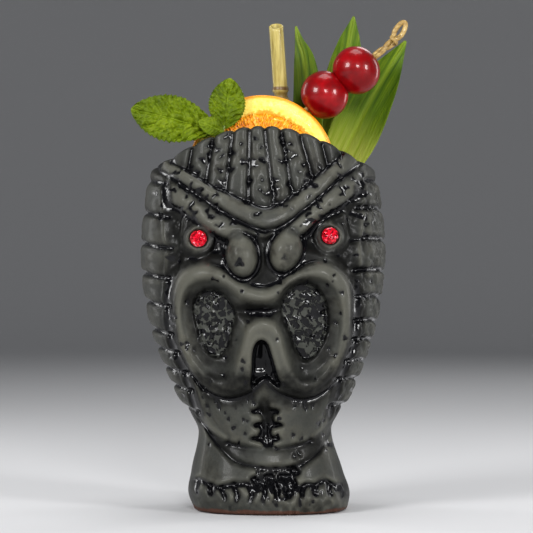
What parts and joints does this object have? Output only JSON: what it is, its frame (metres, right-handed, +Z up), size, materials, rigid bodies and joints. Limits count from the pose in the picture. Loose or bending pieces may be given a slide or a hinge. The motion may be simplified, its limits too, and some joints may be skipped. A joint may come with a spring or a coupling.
{
  "type": "tiki mug",
  "caption": "Carved stoneware tiki mug with crystal eyes, holding a bamboo straw, an orange wheel and cherries on a pick, pineapple leaves and mint.",
  "frame": {"origin": "middle of the flat underside of the mug's foot, on the surface it stands on", "axes": "+Z up, the carved face looks along -Y, +X is to the right of someone facing the face"},
  "size_m": [0.1204, 0.095, 0.2165],
  "materials": {
    "stoneware": "charcoal grey satin glaze, breaking to glossy black in the carving",
    "crystal": "red cut crystal with a foiled back",
    "adhesive": "cured clear glue",
    "bamboo": "dried, lightly polished",
    "orange_peel": "waxy zest over pale pith",
    "orange_pulp": "wet cut fruit",
    "cherry": "wet, syrup-glossy",
    "pineapple_leaf": "waxy green with a paler base",
    "mint": "soft, crinkled and veined"
  },
  "bodies": {
    "mug": {"mug_body": "stoneware", "left_eye_crystal": "crystal", "left_eye_adhesive": "adhesive", "right_eye_crystal": "crystal", "right_eye_adhesive": "adhesive"},
    "straw": {"bamboo_straw": "bamboo"},
    "pick": {"orange_peel": "orange_peel", "orange_pulp": "orange_pulp", "lower_cherry": "cherry", "upper_cherry": "cherry", "knotted_pick": "bamboo"},
    "left_leaf": {"pineapple_leaf_left": "pineapple_leaf"},
    "middle_leaf": {"pineapple_leaf_middle": "pineapple_leaf"},
    "right_leaf": {"pineapple_leaf_right": "pineapple_leaf"},
    "mint": {"mint_stem": "mint", "mint_leaf_left": "mint", "mint_leaf_upright": "mint", "mint_leaf_front": "mint", "mint_leaf_inner": "mint"}
  },
  "joints": [
    {"name": "straw_lift", "type": "slide", "parent": "mug", "child": "straw", "axis": [-0.0704, -0.0862, 0.9938], "range_m": [0, 0.24]},
    {"name": "pick_lift", "type": "slide", "parent": "mug", "child": "pick", "axis": [0, 0, 1], "range_m": [0, 0.06]},
    {"name": "left_leaf_lift", "type": "slide", "parent": "mug", "child": "left_leaf", "axis": [0, 0, 1], "range_m": [0, 0.17]},
    {"name": "middle_leaf_lift", "type": "slide", "parent": "mug", "child": "middle_leaf", "axis": [0, 0, 1], "range_m": [0, 0.17]},
    {"name": "right_leaf_lift", "type": "slide", "parent": "mug", "child": "right_leaf", "axis": [0, 0, 1], "range_m": [0, 0.17]},
    {"name": "mint_lift", "type": "slide", "parent": "mug", "child": "mint", "axis": [-0.0457, -0.0352, 0.9983], "range_m": [0, 0.17]}
  ]
}
